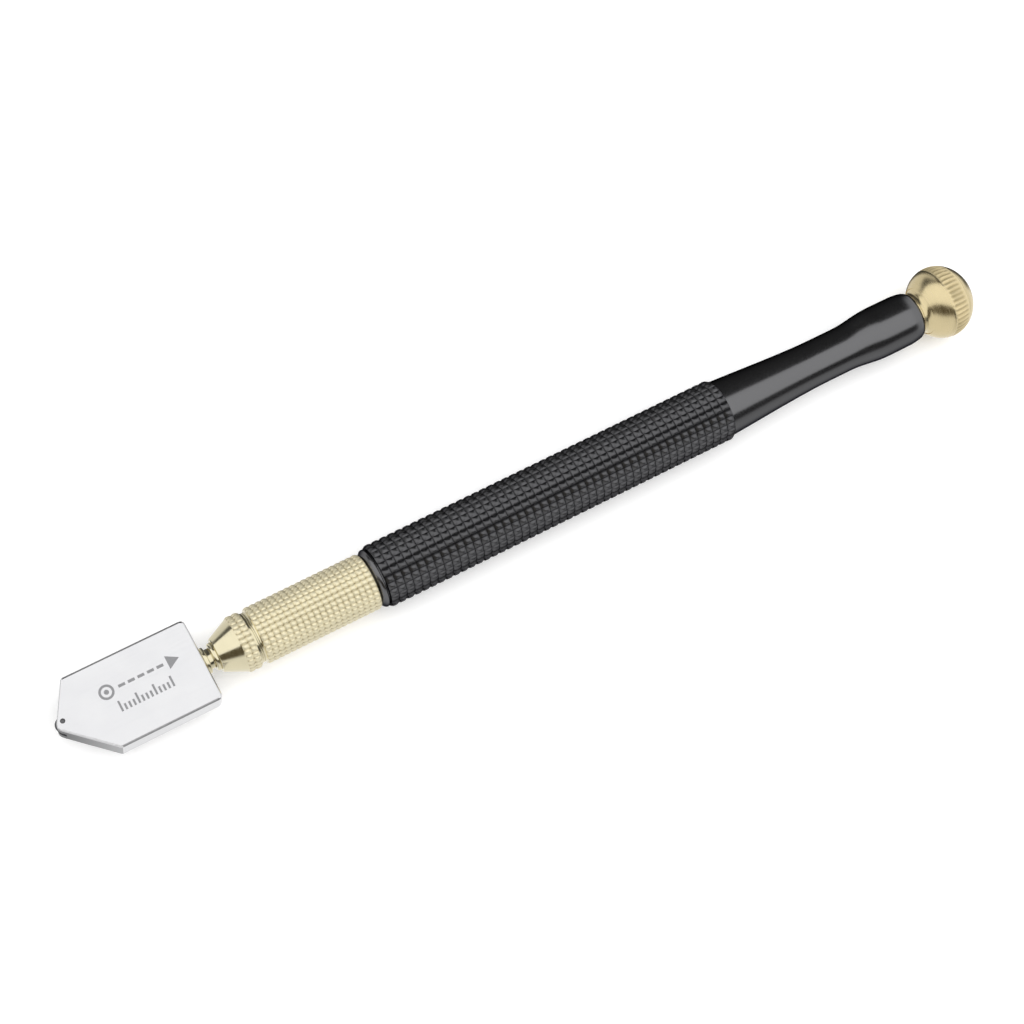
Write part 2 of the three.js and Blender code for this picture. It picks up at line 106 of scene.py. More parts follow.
class Nodes:
    """Short calls for building a material's node graph."""

    def __init__(self, material):
        self.tree = material.node_tree

    def add(self, kind, values=None, **settings):
        node = self.tree.nodes.new(kind)
        for key, value in settings.items():
            setattr(node, key, value)
        for key, value in (values or {}).items():
            node.inputs[key].default_value = value
        return node

    def link(self, source, target):
        self.tree.links.new(source, target)

    def noise(self, scale, detail, stretch=(1, 1, 1)):
        place = self.add("ShaderNodeTexCoord")
        mapping = self.add("ShaderNodeMapping", {"Scale": stretch})
        texture = self.add(
            "ShaderNodeTexNoise", {"Scale": scale, "Detail": detail, "Roughness": 0.55}
        )
        self.link(place.outputs["Object"], mapping.inputs["Vector"])
        self.link(mapping.outputs["Vector"], texture.inputs["Vector"])
        return texture.outputs["Fac"]

    def remap(self, value, low, high, source=(0.0, 1.0)):
        node = self.add(
            "ShaderNodeMapRange",
            {"From Min": source[0], "From Max": source[1], "To Min": low, "To Max": high},
        )
        self.link(value, node.inputs["Value"])
        return node.outputs["Result"]

    def mix(self, factor, first, second):
        """Mixes two colours, of which each is a socket or three numbers."""
        node = self.add("ShaderNodeMix", data_type="RGBA")
        self.link(factor, node.inputs["Factor"])
        for colour, socket in ((first, node.inputs["A"]), (second, node.inputs["B"])):
            if isinstance(colour, tuple):
                socket.default_value = (*colour, 1)
            else:
                self.link(colour, socket)
        return node.outputs["Result"]

    def bump(self, height, distance, strength, shader):
        node = self.add("ShaderNodeBump", {"Distance": distance, "Strength": strength})
        self.link(height, node.inputs["Height"])
        self.link(node.outputs["Normal"], shader.inputs["Normal"])

    def raised(self, value, factor, amount):
        """The value plus the amount times the factor."""
        node = self.add("ShaderNodeMath", {1: amount}, operation="MULTIPLY_ADD")
        self.link(factor, node.inputs[0])
        self.link(value, node.inputs[2])
        return node.outputs[0]

    def attribute(self, name):
        return self.add("ShaderNodeAttribute", attribute_name=name).outputs["Fac"]


def polished_steel():
    """Ground and polished steel, with fine grinding lines along the tool and faint cloudy marks."""
    material, shader = principled("polished_steel", Metallic=1.0)
    graph = Nodes(material)
    clouds = graph.noise(180, 5)
    cloudy = graph.remap(clouds, 0, 1, (0.35, 0.65))
    colour = graph.mix(cloudy, (0.83, 0.83, 0.84), (0.80, 0.80, 0.815))
    graph.link(colour, shader.inputs["Base Color"])
    lines = graph.noise(2600, 3, (0.03, 1, 1))
    graph.link(graph.remap(lines, 0.13, 0.22, (0.3, 0.7)), shader.inputs["Roughness"])
    graph.bump(lines, 0.000004, 0.35, shader)
    return material


def ground_steel_painted_shade():
    """The head's bevelled sides: ground across and duller than the faces, coloured with painted
    shade that is far darker than steel and deepens towards the wheel's point.
    """
    material, shader = principled("ground_steel_painted_shade", Metallic=1.0)
    graph = Nodes(material)
    lines = graph.noise(2400, 4, (1, 1, 0.05))
    # Painted shade: a near-black colour at the wheel's end and a dark grey one at the rear corner,
    # standing for the dark reflections on the bevels; the noise between each pair is the grinding.
    tip_shade = graph.mix(lines, (0.07, 0.07, 0.075), (0.15, 0.15, 0.155))
    corner = graph.mix(lines, (0.38, 0.38, 0.385), (0.56, 0.56, 0.57))
    place = graph.add("ShaderNodeTexCoord")
    parts = graph.add("ShaderNodeSeparateXYZ")
    graph.link(place.outputs["Object"], parts.inputs["Vector"])
    # The painted shade fades from the wheel's end to the rear corner, along the tool.
    shade_darkest, shade_palest = TIP_X + 1.5 * MM, TIP_X + 8.2 * MM
    back = graph.remap(parts.outputs["X"], 0, 1, (shade_darkest, shade_palest))
    graph.link(graph.mix(back, tip_shade, corner), shader.inputs["Base Color"])
    graph.link(graph.remap(lines, 0.3, 0.42), shader.inputs["Roughness"])
    graph.bump(lines, 0.000006, 0.4, shader)
    return material


def etched_steel():
    """The same steel where a mark has been etched: darker and dull."""
    material, shader = principled("etched_steel", Metallic=0.85)
    graph = Nodes(material)
    grain = graph.noise(9000, 3)
    colour = graph.mix(grain, (0.33, 0.33, 0.34), (0.42, 0.42, 0.43))
    graph.link(colour, shader.inputs["Base Color"])
    graph.link(graph.remap(grain, 0.45, 0.62), shader.inputs["Roughness"])
    return material


def dark_steel():
    """Blued steel of the wheel's axle."""
    material, shader = principled("dark_steel", Metallic=1.0)
    graph = Nodes(material)
    grain = graph.noise(5000, 4)
    colour = graph.mix(grain, (0.13, 0.13, 0.135), (0.2, 0.2, 0.205))
    graph.link(colour, shader.inputs["Base Color"])
    graph.link(graph.remap(grain, 0.3, 0.45), shader.inputs["Roughness"])
    return material


def carbide():
    material, shader = principled("carbide", Metallic=1.0)
    graph = Nodes(material)
    grain = graph.noise(6000, 4)
    colour = graph.mix(grain, (0.065, 0.067, 0.072), (0.105, 0.107, 0.113))
    graph.link(colour, shader.inputs["Base Color"])
    graph.link(graph.remap(grain, 0.25, 0.42), shader.inputs["Roughness"])
    graph.bump(grain, 0.000004, 0.3, shader)
    return material


def spring_steel():
    material, shader = principled("spring_steel", Metallic=1.0)
    graph = Nodes(material)
    drawn = graph.noise(5000, 3)
    colour = graph.mix(drawn, (0.42, 0.42, 0.44), (0.56, 0.56, 0.58))
    graph.link(colour, shader.inputs["Base Color"])
    graph.link(graph.remap(drawn, 0.22, 0.36), shader.inputs["Roughness"])
    return material


def brass(name, light, smooth, rough):
    """Pale plated brass, satin on cut patterns, and darker where grooves cross: painted shade there,
    with some residue.
    """
    material, shader = principled(name, Metallic=1.0)
    graph = Nodes(material)
    deep = tuple(value * 0.95 for value in light)
    tone = graph.mix(graph.remap(graph.noise(260, 4), 0, 1, (0.35, 0.65)), light, deep)
    # Painted shade: the colour goes to dark brown as the painted darkness of the grooves rises.
    crossing_shade = graph.remap(graph.attribute("dirt_and_shade"), 0.0, 0.9)
    graph.link(graph.mix(crossing_shade, tone, (0.30, 0.23, 0.10)), shader.inputs["Base Color"])
    turning = graph.noise(3800, 3, (1, 0.06, 0.06))
    polish = graph.remap(turning, smooth, rough, (0.3, 0.7))
    pattern = graph.attribute("pattern")
    graph.link(graph.raised(polish, pattern, 0.2), shader.inputs["Roughness"])
    graph.link(graph.remap(pattern, 1.0, 0.62), shader.inputs["Metallic"])
    graph.bump(turning, 0.000003, 0.3, shader)
    return material


def black_coating():
    """Hard glossy black coating with a fine grain, duller where it is knurled, where its colour is
    also painted darker as shade, with some residue, most where the grooves cross.
    """
    edge = (0.15, 0.15, 0.155, 1)
    material, shader = principled("black_coating", Metallic=1.0, Specular_Tint=edge)
    graph = Nodes(material)
    grain = graph.noise(4200, 4)
    pattern = graph.attribute("pattern")
    # Painted shade: the knurl's colour is darker than the smooth coating's and darker still where
    # its grooves cross.
    teeth = graph.mix(graph.attribute("dirt_and_shade"), (0.125, 0.125, 0.13), (0.045, 0.045, 0.048))
    graph.link(graph.mix(pattern, (0.175, 0.175, 0.18), teeth), shader.inputs["Base Color"])
    gloss = graph.remap(grain, 0.17, 0.25, (0.3, 0.7))
    graph.link(graph.raised(gloss, pattern, 0.1), shader.inputs["Roughness"])
    graph.bump(grain, 0.000004, 0.2, shader)
    return material


def rubber():
    material, shader = principled("rubber", Specular_IOR_Level=0.35)
    graph = Nodes(material)
    grain = graph.noise(3000, 5)
    colour = graph.mix(grain, (0.016, 0.016, 0.017), (0.034, 0.034, 0.035))
    graph.link(colour, shader.inputs["Base Color"])
    graph.link(graph.remap(grain, 0.6, 0.8), shader.inputs["Roughness"])
    graph.bump(grain, 0.00001, 0.3, shader)
    return material


def cotton():
    """Twisted cotton: slanting strands with a fuzzy grain."""
    material, shader = principled("cotton", Roughness=0.95)
    graph = Nodes(material)
    strands = graph.add("ShaderNodeTexWave", {"Scale": 900.0, "Distortion": 2.5, "Detail": 3.0})
    strands.bands_direction = "DIAGONAL"
    place = graph.add("ShaderNodeTexCoord")
    graph.link(place.outputs["Object"], strands.inputs["Vector"])
    colour = graph.mix(strands.outputs["Fac"], (0.78, 0.74, 0.66), (0.92, 0.90, 0.85))
    graph.link(colour, shader.inputs["Base Color"])
    graph.bump(strands.outputs["Fac"], 0.00004, 0.6, shader)
    return material


MATERIALS = {
    "polished_steel": polished_steel(),
    "carbide": carbide(),
    "brass": brass("brass", (0.86, 0.785, 0.55), 0.12, 0.2),
    "spring_steel": spring_steel(),
    "black_coating": black_coating(),
    "rubber": rubber(),
    "cotton": cotton(),
}
ETCHED = etched_steel()
# Steel for the bevels and broken edges, its colour painted dark as shade.
GROUND_PAINTED_SHADE = ground_steel_painted_shade()
BLUED = dark_steel()
SATIN_BRASS = brass("satin_brass", (0.79, 0.665, 0.395), 0.2, 0.28)
NODE_SLOT = {part["node"]: part["material_slot"] for part in frame["record"]["subparts"]}
NODE_BODY = {
    node: body for body, nodes in frame["record"]["behaviour"]["bodies"].items() for node in nodes
}


# ---- mesh helpers -----------------------------------------------------------------------------
def finish_mesh(mesh, crease_degrees=32):
    """Faces point out, curved runs are smooth and edges sharper than the limit stay crisp."""
    work = bmesh.new()
    work.from_mesh(mesh)
    bmesh.ops.recalc_face_normals(work, faces=work.faces)
    work.to_mesh(mesh)
    work.free()
    mesh.shade_smooth()
    mesh.set_sharp_from_angle(angle=math.radians(crease_degrees))


def solid(work, name, crease_degrees=32):
    """Makes the object of a finished bmesh. With no crease angle its faces stay flat."""
    mesh = bpy.data.meshes.new(name)
    work.to_mesh(mesh)
    work.free()
    if crease_degrees:
        finish_mesh(mesh, crease_degrees)
    return new_object(name, mesh)


def stand_for(piece, node, material=None):
    """The piece takes the CAD node's place: its body, its slot and its material."""
    piece.data.materials.clear()
    piece.data.materials.append(material or MATERIALS[NODE_SLOT[node]])
    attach(piece, NODE_BODY[node])
    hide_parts(node)
    return piece


def new_object(name, mesh):
    piece = bpy.data.objects.new(name, mesh)
    bpy.context.scene.collection.objects.link(piece)
    return piece


def rounded(outline, steps=5):
    """Replaces each corner (station, radius, rounding) by a short curve of that size."""
    count = len(outline)
    points = []
    for i, (x, r, rounding) in enumerate(outline):
        corner = Vector((x, r))
        if not rounding:
            points.append((x, r))
            continue
        before = Vector(outline[i - 1][:2]) - corner
        after = Vector(outline[(i + 1) % count][:2]) - corner
        start = corner + before.normalized() * min(rounding, before.length * 0.49)
        end = corner + after.normalized() * min(rounding, after.length * 0.49)
        for k in range(steps + 1):
            t = k / steps
            point = start * (1 - t) ** 2 + corner * 2 * t * (1 - t) + end * t * t
            points.append((point.x, point.y))
    return points


class Relief:
    """A pattern cut in to a turned surface. cut(along, angle) is 0 on the surface and 1 at the
    bottom. The third function gives how dark the colour is painted at each place: painted
    shade in the grooves, with some residue."""

    def __init__(self, depth, cut, dirt_and_shade=None):
        self.depth = depth
        self.cut = cut
        self.dirt_and_shade = dirt_and_shade or cut


def turned(name, outline, segments=96):
    """A solid of revolution. outline holds (station, radius) points, or (station, radius, Relief)
    where a pattern is cut in. It closes on itself, or starts and ends on the axis."""
    work = bmesh.new()
    groove = work.verts.layers.float.new("groove")
    # Painted shade with some residue: how dark each vertex's colour is made, for the materials to
    # read.
    dirt_and_shade = work.verts.layers.float.new("dirt_and_shade")
    cut_here = work.verts.layers.float.new("pattern")
    rings = []
    for x, r, *pattern in outline:
        if r < 1e-6:
            rings.append(([work.verts.new((TIP_X + x * MM, 0, AXIS_Z))], None))
            continue
        ring = []
        for j in range(segments):
            angle = TURN * j / segments
            cut = pattern[0].cut(x, angle) if pattern else 0.0
            radius = (r - cut * pattern[0].depth if pattern else r) * MM
            place = (TIP_X + x * MM, radius * math.cos(angle), AXIS_Z + radius * math.sin(angle))
            vertex = work.verts.new(place)
            vertex[groove] = cut
            vertex[dirt_and_shade] = pattern[0].dirt_and_shade(x, angle) if pattern else 0.0
            vertex[cut_here] = 1.0 if pattern else 0.0
            ring.append(vertex)
        rings.append((ring, pattern))
    closed = outline[0][1] > 1e-6
    pairs = list(zip(rings, rings[1:] + rings[:1])) if closed else list(zip(rings, rings[1:]))
    for (first, first_pattern), (second, second_pattern) in pairs:
        patterned = bool(first_pattern and second_pattern)
        for j in range(segments):
            k = (j + 1) % segments
            if len(first) == 1:
                work.faces.new((first[0], second[j], second[k]))
            elif len(second) == 1:
                work.faces.new((first[j], second[0], first[k]))
            else:
                cell = (first[j], second[j], second[k], first[k])
                add_cell(work, cell, groove, patterned)
    return solid(work, name)


def add_cell(work, cell, groove, patterned):
    """One face of a turned surface. A cell of a pattern is split along the ridge of its tooth."""
    cuts = [vertex[groove] for vertex in cell]
    flat = abs(cuts[0] + cuts[2] - cuts[1] - cuts[3]) < 1e-6
    if not patterned or flat:
        work.faces.new(cell)
        return
    top = cuts.index(min(cuts))
    a, b, c, d = (cell[(top + i) % 4] for i in range(4))
    work.faces.new((a, b, c))
    work.faces.new((a, c, d))


# How deep a knurl is cut at each sixth of a tooth's pitch: a V groove, a flank and a soft top.
TOOTH_STEPS = 6
SHARP_TOOTH = (1.0, 0.45, 0.08, 0.0, 0.08, 0.45)
FLAT_TOOTH = (1.0, 0.35, 0.05, 0.0, 0.05, 0.35)


def tooth_cut(tooth, share):
    step = (share % 1.0) * TOOTH_STEPS
    low = int(step) % TOOTH_STEPS
    return tooth[low] + (tooth[(low + 1) % TOOTH_STEPS] - tooth[low]) * (step - int(step))


def knurl(start, end, radius, rows, teeth, depth, tooth):
    """Outline points of a square knurl: ring grooves crossed by straight rows of teeth."""
    pitch = (end - start) / rows

    def grooves(x, angle):
        return (
            tooth_cut(tooth, round((x - start) / pitch, 6)),
            tooth_cut(tooth, round(angle / TURN * teeth, 6)),
        )

    # The darkness is the lesser of the two cuts, so the painted darkness peaks where the grooves
    # cross: painted shade, with some residue.
    relief = Relief(depth, lambda x, a: max(grooves(x, a)), lambda x, a: min(grooves(x, a)))
    count = rows * TOOTH_STEPS
    return [(start + (end - start) * i / count, radius, relief) for i in range(count + 1)]


def thread(start, end, radius, pitch, depth):
    """Outline points of a right-hand screw thread."""
    steps_per_turn = 8

    def cut(x, angle):
        wave = (x / pitch - angle / TURN) % 1.0
        fade = min(1.0, (x - start) / pitch, (end - x) / pitch)
        return abs(2 * wave - 1) * max(fade, 0.0)

    relief = Relief(depth, cut)
    count = round((end - start) / pitch * steps_per_turn)
    return [(start + (end - start) * i / count, radius, relief) for i in range(count + 1)]


def ring(name, at, radius, thickness):
    """An O-ring whose centre circle has the given radius."""
    sides = 20
    outline = []
    for i in range(sides):
        angle = TURN * i / sides
        along, out = thickness / 2 * math.cos(angle), thickness / 2 * math.sin(angle)
        outline.append((at + along, radius + out))
    return turned(name, outline, 72)


def tube(name, start, end, inner, outer, rounding):
    corners = [(start, inner), (start, outer), (end, outer), (end, inner)]
    return turned(name, rounded([(x, r, rounding) for x, r in corners]), 72)


def coil(name, start, end, radius, wire, turns):
    """A compression spring of round wire, with close turns at both ends."""
    steps_per_turn, sides = 28, 10
    closed_turns = 1.0
    steps = int(turns * steps_per_turn)
    close = closed_turns / turns
    slope_end = wire * 1.02 * closed_turns
    work = bmesh.new()
    first, last = start + wire / 2, end - wire / 2
    rings = []
    for i in range(steps + 1):
        t = i / steps
        if t < close:
            x = first + slope_end * t / close
        elif t > 1 - close:
            x = last - slope_end * (1 - t) / close
        else:
            x = first + slope_end + (last - first - 2 * slope_end) * (t - close) / (1 - 2 * close)
        angle = t * turns * TURN
        out = Vector((0, math.cos(angle), math.sin(angle)))
        centre = Vector((x, radius * out.y, radius * out.z))
        section = []
        for j in range(sides):
            around = TURN * j / sides
            offset = Vector((1, 0, 0)) * math.cos(around) + out * math.sin(around)
            point = centre + offset * wire / 2
            place = (TIP_X + point.x * MM, point.y * MM, AXIS_Z + point.z * MM)
            section.append(work.verts.new(place))
        rings.append(section)
    for a, b in zip(rings, rings[1:]):
        for j in range(sides):
            k = (j + 1) % sides
            work.faces.new((a[j], b[j], b[k], a[k]))
    work.faces.new(rings[0])
    work.faces.new(list(reversed(rings[-1])))
    return solid(work, name, 50)


# ---- cutting head -----------------------------------------------------------------------------
WHEEL = middle("cutting_wheel")
PLATE_LOW, PLATE_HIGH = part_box("head_plate")
PLATE_REAR = span("head_plate")[1]
PLATE_HALF = (PLATE_HIGH.y - PLATE_LOW.y) / 2 / MM
PLATE_THICK = (PLATE_HIGH.z - PLATE_LOW.z) / MM
WHEEL_AT = (WHEEL.x - TIP_X) / MM
SHORT_BEVEL = 4.5
LONG_BEVEL = 8.2
TIP_CORNER = (0.25, 0.1)
SLOT_RADIUS, SLOT_WIDTH = 1.95, 1.16
AXLE_RADIUS = 0.35
AXLE_PLAY = 0.07
WHEEL_PLAY = 0.06
STEM_RADIUS = 1.5
SOCKET_FRONT = 5.5                # depth of the stem's socket from the plate's rear edge
SOCKET_LENGTH = 6.5


def plate_outline():
    """The plate's five corners with their roundings, anticlockwise from the rear."""
    return [
        (PLATE_REAR, -PLATE_HALF, 1.0),
        (PLATE_REAR, PLATE_HALF, 1.0),
        (SHORT_BEVEL, PLATE_HALF, 0.35),
        (*TIP_CORNER, 1.1),
        (LONG_BEVEL, -PLATE_HALF, 0.35),
    ]


def inset(points, distance):
    """Moves a closed outline inwards, anticlockwise points only."""
    count = len(points)
    moved = []
    for i, point in enumerate(points):
        before = (Vector(point) - Vector(points[i - 1])).normalized()
        after = (Vector(points[(i + 1) % count]) - Vector(point)).normalized()
        inward = Vector((-(before.y + after.y), before.x + after.x)).normalized()
        reach = distance / max(0.3, inward.dot(Vector((-before.y, before.x))))
        moved.append((point[0] + inward.x * reach, point[1] + inward.y * reach))
    return moved


def cutter(name, centre, radius, depth, axis="Z"):
    """A temporary cylinder for a boolean cut."""
    work = bmesh.new()
    bmesh.ops.create_cone(
        work, cap_ends=True, segments=64, radius1=radius * MM, radius2=radius * MM, depth=depth * MM
    )
    if axis == "X":
        bmesh.ops.rotate(work, verts=work.verts, matrix=Matrix.Rotation(math.pi / 2, 3, "Y"))
    bmesh.ops.translate(work, verts=work.verts, vec=centre)
    return solid(work, name, None)


def cut_away(piece, tools):
    """Cuts the tools out of the piece and deletes them."""
    for tool in tools:
        change = piece.modifiers.new("cut", "BOOLEAN")
        change.operation = "DIFFERENCE"
        change.solver = "EXACT"
        change.object = tool
    graph = bpy.context.evaluated_depsgraph_get()
    mesh = bpy.data.meshes.new_from_object(piece.evaluated_get(graph))
    piece.modifiers.clear()
    piece.data = mesh
    for tool in tools:
        bpy.data.objects.remove(tool)
    finish_mesh(piece.data, 20)


def steel_head():
    """The plate: a slab with broken edges, slotted for the wheel, drilled for axle, oil and stem."""
    outline = rounded(plate_outline(), 6)
    half = PLATE_THICK / 2
    # How far the broken edge is down from the face, and in from the side.
    edge = [(0.0, 0.34), (0.085, 0.165), (0.27, 0.0)]
    levels = [(-half + down, shrink) for down, shrink in edge]
    levels += [(half - down, shrink) for down, shrink in reversed(edge)]
    work = bmesh.new()
    layers = []
    for z, shrink in levels:
        points = inset(outline, shrink) if shrink else outline
        places = [(TIP_X + x * MM, y * MM, AXIS_Z + z * MM) for x, y in points]
        layers.append([work.verts.new(place) for place in places])
    count = len(outline)
    for low, high in zip(layers, layers[1:]):
        for i in range(count):
            k = (i + 1) % count
            work.faces.new((low[i], low[k], high[k], high[i]))
    work.faces.new(list(reversed(layers[0])))
    work.faces.new(layers[-1])
    piece = solid(work, "steel_head", None)
    socket_middle = PLATE_REAR - SOCKET_FRONT + SOCKET_LENGTH / 2
    socket_place = Vector((TIP_X + socket_middle * MM, 0, AXIS_Z))
    passage_place = Vector((TIP_X + 0.5 * (WHEEL_AT + PLATE_REAR) * MM, 0, AXIS_Z))
    cut_away(piece, [
        cutter("slot", WHEEL, SLOT_RADIUS, SLOT_WIDTH),
        cutter("axle_hole", WHEEL, AXLE_RADIUS + AXLE_PLAY, 2 * PLATE_THICK),
        cutter("socket", socket_place, STEM_RADIUS + 0.06, SOCKET_LENGTH, "X"),
        cutter("passage", passage_place, 0.6, PLATE_REAR - WHEEL_AT - 3, "X"),
    ])
    stand_for(piece, "head_plate")
    # The bevels and broken edges take the steel with painted shade, so they show darker than the
    # faces.
    piece.data.materials.append(GROUND_PAINTED_SHADE)
    for face in piece.data.polygons:
        bevel = abs(face.normal.z) < 0.2 and face.normal.x < -0.3
        broken_edge = 0.3 < abs(face.normal.z) < 0.97 and abs(face.normal.x) < 0.1
        face.material_index = 1 if bevel or broken_edge else 0
    return piece


def upright(piece):
    """Turns a piece made round the first station's axis upright, at the wheel's centre."""
    turn = Matrix.Rotation(math.pi / 2, 4, "Y")
    away = Matrix.Translation((-TIP_X, 0, -AXIS_Z))
    piece.data.transform(Matrix.Translation(WHEEL) @ turn @ away)
    return piece


def score_wheel():
    """The wheel: a flat hub on each side and two ground cones that meet in the cutting edge."""
    low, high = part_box("cutting_wheel")
    radius, half = (high.x - low.x) / 2 / MM, (high.z - low.z) / 2 / MM
    bore, hub = AXLE_RADIUS + WHEEL_PLAY, 1.15
    outline = [(-half, bore), (-half, hub), (0, radius), (half, hub), (half, bore)]
    piece = upright(turned("score_wheel", outline))
    finish_mesh(piece.data, 12)
    return stand_for(piece, "cutting_wheel")


def wheel_pin():
    """The axle, its ends a little below the wide faces."""
    half = PLATE_THICK / 2 - 0.05
    corners = [(-half, 0, 0), (-half, AXLE_RADIUS, 0.08), (half, AXLE_RADIUS, 0.08), (half, 0, 0)]
    outline = rounded(corners, 3)
    return stand_for(upright(turned("wheel_pin", outline, 40)), "wheel_axle", BLUED)


def stem():
    """Brass stem: spigot in the plate, collar, neck, and the long tail in the nose."""
    front, rear = span("head_stem")
    collar = girth("head_stem")
    spigot, neck, bore = STEM_RADIUS, 1.75, 0.7
    collar_front, collar_rear, neck_rear = PLATE_REAR + 0.03, PLATE_REAR + 0.7, PLATE_REAR + 1.44
    groove_front, groove_rear, groove = 34.0, 34.5, 1.2
    outline = [
        (front, bore, 0.1), (front, spigot, 0.15), (collar_front, spigot, 0),
        (collar_front, collar, 0.12), (collar_rear, collar, 0.18), (collar_rear, neck, 0.12),
        (neck_rear, neck, 0.05), (neck_rear, spigot, 0), (groove_front, spigot, 0),
        (groove_front, groove, 0), (groove_rear, groove, 0), (groove_rear, spigot, 0),
        (rear, spigot, 0.2), (rear, bore, 0.1),
    ]
    return stand_for(turned("stem", rounded(outline), 72), "head_stem")


def wick():
    """Three cotton strands twisted together."""
    front, rear = span("oil_wick")
    radius, strands, strand_radius = 0.26, 3, 0.235
    steps, sides, turns = 160, 8, 9
    work = bmesh.new()
    for strand in range(strands):
        rings = []
        for i in range(steps + 1):
            x = front + (rear - front) * i / steps
            angle = TURN * (turns * i / steps + strand / strands)
            centre = (radius * math.cos(angle), radius * math.sin(angle))
            section = []
            for j in range(sides):
                around = TURN * j / sides
                y = centre[0] + strand_radius * math.cos(around)
                z = centre[1] + strand_radius * math.sin(around)
                section.append(work.verts.new((TIP_X + x * MM, y * MM, AXIS_Z + z * MM)))
            rings.append(section)
        for a, b in zip(rings, rings[1:]):
            for j in range(sides):
                k = (j + 1) % sides
                work.faces.new((a[j], b[j], b[k], a[k]))
        work.faces.new(rings[0])
        work.faces.new(list(reversed(rings[-1])))
    return stand_for(solid(work, "wick", 60), "oil_wick")


def snap_clip():
    """The open clip in the stem's groove."""
    low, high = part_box("stem_clip")
    outer, inner, opening = 2.3, 1.26, 0.5
    steps = 40
    work = bmesh.new()
    rings = []
    for x in (low.x, high.x):
        edge = []
        for i in range(steps + 1):
            angle = opening + (TURN - 2 * opening) * i / steps
            edge.append((outer * math.cos(angle), outer * math.sin(angle)))
        for i in range(steps + 1):
            angle = TURN - 2 * opening - (TURN - 4 * opening) * i / steps
            edge.append((inner * math.cos(angle), inner * math.sin(angle)))
        rings.append([work.verts.new((x, y * MM, AXIS_Z + z * MM)) for z, y in edge])
    count = len(rings[0])
    for i in range(count):
        k = (i + 1) % count
        work.faces.new((rings[0][i], rings[0][k], rings[1][k], rings[1][i]))
    for i in range(steps):
        a, b, c, d = i, i + 1, count - 2 - i, count - 1 - i
        for side in rings:
            work.faces.new((side[a], side[b], side[c], side[d]))
    return stand_for(solid(work, "snap_clip"), "stem_clip")


# ---- nose -------------------------------------------------------------------------------------
GOLD_TEETH = 30
GOLD_DEPTH = 0.21
GOLD_LAND = 4.5
FINE_PITCH, FINE_DEPTH = 0.75, 0.32


def nose_nut():
    """Polished cone, two rows of knurl, a smooth land and the threaded spigot."""
    front, rear = span("nose_nut")
    radius = girth("nose_nut")
    root = radius - GOLD_DEPTH
    mouth, bush_bore, bush_end = 2.95, 2.26, 31.0
    cone_rear, ring_rear, land_rear = 32.3, 34.72, 35.15
    spigot, spigot_bore, stop_rear = 3.7, 2.95, 33.2
    seal_bore, seal_rear, stem_hole = 2.55, stop_rear - 0.7, 1.65
    shape = rounded([
        (front, bush_bore, 0.05), (front, mouth, 0.18), (cone_rear, root - 0.08, 0.12),
        (cone_rear + 0.12, root, 0),
    ])
    shape += knurl(cone_rear + 0.13, ring_rear, radius, 2, GOLD_TEETH, GOLD_DEPTH, FLAT_TOOTH)
    shape += rounded([
        (ring_rear + 0.02, root, 0), (ring_rear + 0.06, GOLD_LAND, 0),
        (land_rear, GOLD_LAND, 0.08), (land_rear, spigot, 0.05),
    ])
    shape += thread(land_rear + 0.2, rear - 0.2, spigot, FINE_PITCH, FINE_DEPTH)
    shape += rounded([
        (rear, spigot - 0.3, 0), (rear, spigot_bore, 0), (stop_rear, spigot_bore, 0),
        (stop_rear, stem_hole, 0), (seal_rear, stem_hole, 0), (seal_rear, seal_bore, 0),
        (bush_end, seal_bore, 0), (bush_end, bush_bore, 0),
    ])
    return stand_for(turned("nut", shape, GOLD_TEETH * TOOTH_STEPS), "nose_nut")


def guide_bush():
    """Flanged bush in the cone's mouth. The stem's neck goes in to its recess at full plunge."""
    front, rear = span("gland_bush")
    mouth = span("nose_nut")[0]
    bore, flange, body = 1.56, girth("gland_bush"), 2.2
    recess, recess_rear = 1.81, front + 0.8
    outline = [
        (front, recess, 0.06), (front, flange - 0.12, 0.1), (front + 0.25, flange, 0.1),
        (mouth - 0.02, flange, 0.08), (mouth - 0.02, body, 0), (rear, body, 0.1),
        (rear, bore, 0.05), (recess_rear, bore, 0.03), (recess_rear, recess, 0.03),
    ]
    return stand_for(turned("guide_bush", rounded(outline), 72), "gland_bush")


